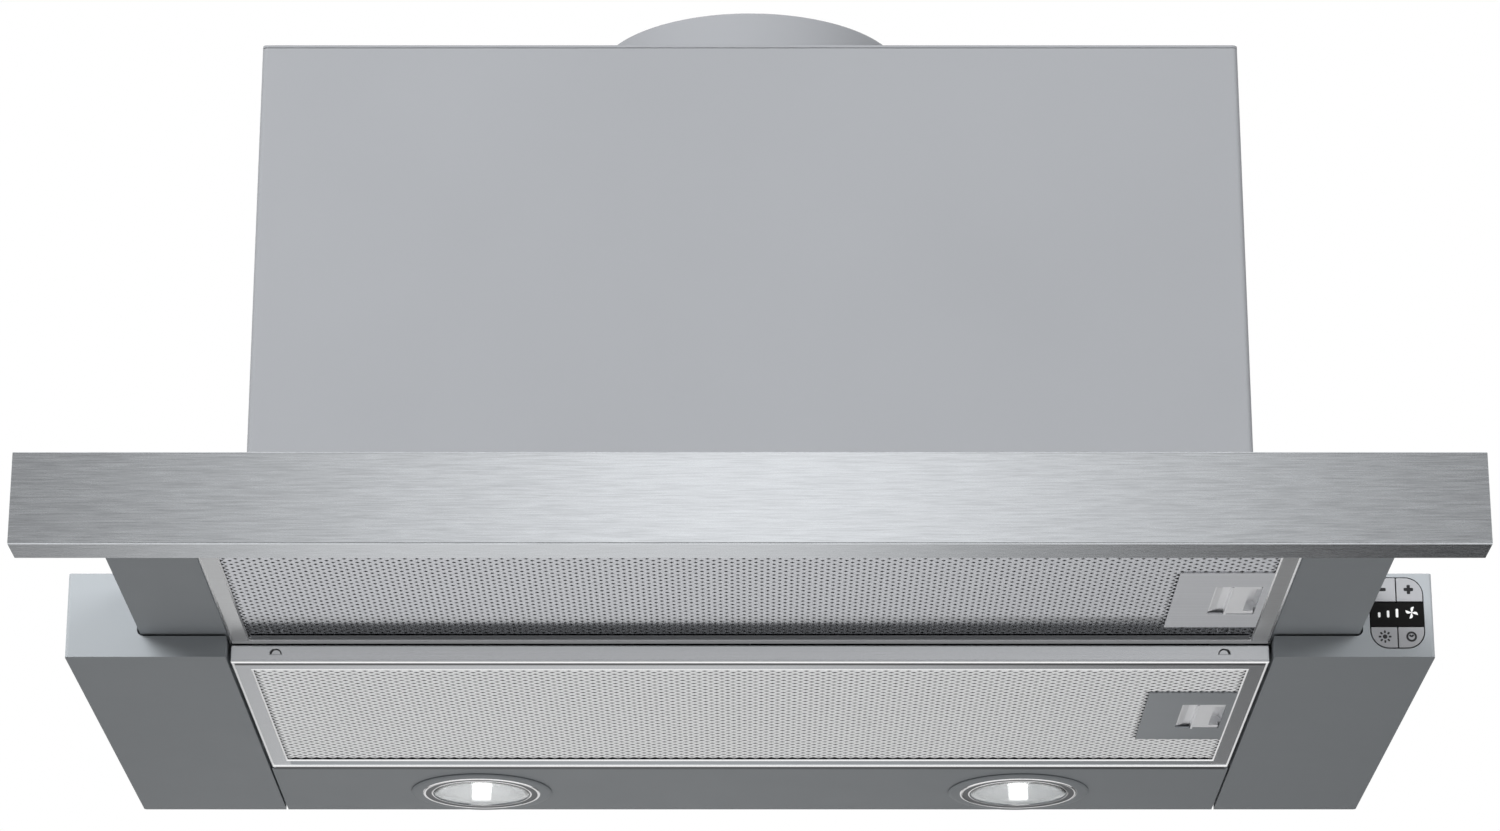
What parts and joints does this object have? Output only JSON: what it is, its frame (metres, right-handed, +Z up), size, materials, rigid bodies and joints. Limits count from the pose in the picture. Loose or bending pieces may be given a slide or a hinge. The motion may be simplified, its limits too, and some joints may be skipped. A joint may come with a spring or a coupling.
{
  "type": "range hood",
  "caption": "Slim pull-out range hood with a sliding visor, two drop-down grease filters, round lamps, a key pad, and a fan casing with a flapped duct collar.",
  "frame": {"origin": "middle of the back sheet, level with the top of the wings, where the hood lies under the wall cabinet", "axes": "+X to the right seen from the front, +Y back to the wall, +Z up"},
  "size_m": [0.598, 0.4287, 0.3387],
  "materials": {
    "brushed_steel": "brushed lengthways, satin",
    "grey_coat": "satin coat",
    "casing_grey": "matt coat",
    "zinc_sheet": "zinc-coated sheet",
    "runner_steel": "bright zinc plate",
    "filter_frame": "satin",
    "filter_mesh": "stacked expanded mesh",
    "latch_plate": "satin",
    "latch_plastic": "fine grain",
    "dark_plastic": "fine grain",
    "fan_plastic": "smooth",
    "key_plastic": null,
    "display_black": "gloss",
    "circuit_board": "solder mask",
    "lamp_glass": "clear, finely ribbed behind",
    "reflector": "faceted, bright",
    "bulb_glass": "frosted"
  },
  "bodies": {
    "root": {"left_wing_cover": "grey_coat", "right_wing_cover": "grey_coat", "base_plate": "zinc_sheet", "back_panel": "zinc_sheet", "lamp_panel": "grey_coat", "casing_body": "casing_grey", "casing_top": "casing_grey", "terminal_box": "dark_plastic", "cable_gland": "dark_plastic", "left_rail_bracket": "zinc_sheet", "right_rail_bracket": "zinc_sheet", "left_outer_rail": "runner_steel", "right_outer_rail": "runner_steel", "exhaust_collar": "casing_grey", "flap_pin": "runner_steel", "fan_housing_left": "dark_plastic", "fan_housing_right": "dark_plastic", "fan_motor": "zinc_sheet", "motor_bracket": "zinc_sheet", "outlet_adapter": "dark_plastic", "left_lamp_ring": "grey_coat", "left_lamp_lens": "lamp_glass", "left_lamp_reflector": "reflector", "left_lamp_bulb": "bulb_glass", "right_lamp_ring": "grey_coat", "right_lamp_lens": "lamp_glass", "right_lamp_reflector": "reflector", "right_lamp_bulb": "bulb_glass", "control_carrier": "dark_plastic", "display_window": "display_black", "control_board": "circuit_board"},
    "left_runner": {"left_middle_rail": "runner_steel"},
    "right_runner": {"right_middle_rail": "runner_steel"},
    "visor": {"front_panel": "brushed_steel", "panel_backing": "dark_plastic", "left_arm": "grey_coat", "right_arm": "grey_coat", "visor_tray": "zinc_sheet", "left_inner_rail": "runner_steel", "right_inner_rail": "runner_steel"},
    "front_filter": {"front_filter_frame": "filter_frame", "front_filter_mesh": "filter_mesh", "front_filter_latch_plate": "latch_plate", "front_filter_latch_spring": "runner_steel"},
    "front_latch": {"front_filter_latch_handle": "latch_plastic"},
    "rear_filter": {"rear_filter_frame": "filter_frame", "rear_filter_mesh": "filter_mesh", "rear_filter_latch_plate": "latch_plate", "rear_filter_latch_spring": "runner_steel"},
    "rear_latch": {"rear_filter_latch_handle": "latch_plastic"},
    "minus_key": {"minus_button": "key_plastic"},
    "plus_key": {"plus_button": "key_plastic"},
    "light_key": {"light_button": "key_plastic"},
    "timer_key": {"timer_button": "key_plastic"},
    "front_damper": {"front_flap": "dark_plastic"},
    "rear_damper": {"rear_flap": "dark_plastic"},
    "fan_wheel": {"impeller_cage": "fan_plastic", "impeller_hub": "fan_plastic"}
  },
  "joints": [
    {"name": "visor_slide", "type": "slide", "parent": "root", "child": "visor", "axis": [0, -1, 0], "range_m": [-0.1385, 0]},
    {"name": "left_runner_slide", "type": "slide", "parent": "root", "child": "left_runner", "axis": [0, -1, 0], "range_m": [-0.06925, 0]},
    {"name": "right_runner_slide", "type": "slide", "parent": "root", "child": "right_runner", "axis": [0, -1, 0], "range_m": [-0.06925, 0]},
    {"name": "front_filter_swing", "type": "hinge", "parent": "visor", "child": "front_filter", "pos_m": [-0.228, -0.3357, -0.0295], "axis": [0, 1, 0], "range_deg": [0, 45]},
    {"name": "front_latch_slide", "type": "slide", "parent": "front_filter", "child": "front_latch", "axis": [-1, 0, 0], "range_m": [0, 0.006], "stiffness_N_per_m": 300, "springref_m": -0.01, "deforming": ["front_filter_latch_spring"]},
    {"name": "rear_filter_swing", "type": "hinge", "parent": "root", "child": "rear_filter", "pos_m": [-0.228, -0.1715, -0.038], "axis": [0, 1, 0], "range_deg": [0, 45]},
    {"name": "rear_latch_slide", "type": "slide", "parent": "rear_filter", "child": "rear_latch", "axis": [-1, 0, 0], "range_m": [0, 0.006], "stiffness_N_per_m": 300, "springref_m": -0.01, "deforming": ["rear_filter_latch_spring"]},
    {"name": "minus_press", "type": "slide", "parent": "root", "child": "minus_key", "axis": [0, 1, 0], "range_m": [0, 0.0008], "stiffness_N_per_m": 1500, "springref_m": -0.0008},
    {"name": "plus_press", "type": "slide", "parent": "root", "child": "plus_key", "axis": [0, 1, 0], "range_m": [0, 0.0008], "stiffness_N_per_m": 1500, "springref_m": -0.0008},
    {"name": "light_press", "type": "slide", "parent": "root", "child": "light_key", "axis": [0, 1, 0], "range_m": [0, 0.0008], "stiffness_N_per_m": 1500, "springref_m": -0.0008},
    {"name": "timer_press", "type": "slide", "parent": "root", "child": "timer_key", "axis": [0, 1, 0], "range_m": [0, 0.0008], "stiffness_N_per_m": 1500, "springref_m": -0.0008},
    {"name": "front_damper_swing", "type": "hinge", "parent": "root", "child": "front_damper", "pos_m": [0, -0.1307, 0.2804], "axis": [-1, 0, 0], "range_deg": [0, 70]},
    {"name": "rear_damper_swing", "type": "hinge", "parent": "root", "child": "rear_damper", "pos_m": [0, -0.1307, 0.2804], "axis": [1, 0, 0], "range_deg": [0, 70]},
    {"name": "fan_spin", "type": "hinge", "parent": "root", "child": "fan_wheel", "pos_m": [0, -0.162, 0.092], "axis": [1, 0, 0], "continuous": true}
  ],
  "couplings": [
    {"joint": "left_runner_slide", "follows": "visor_slide", "ratio": 0.5},
    {"joint": "right_runner_slide", "follows": "visor_slide", "ratio": 0.5}
  ]
}
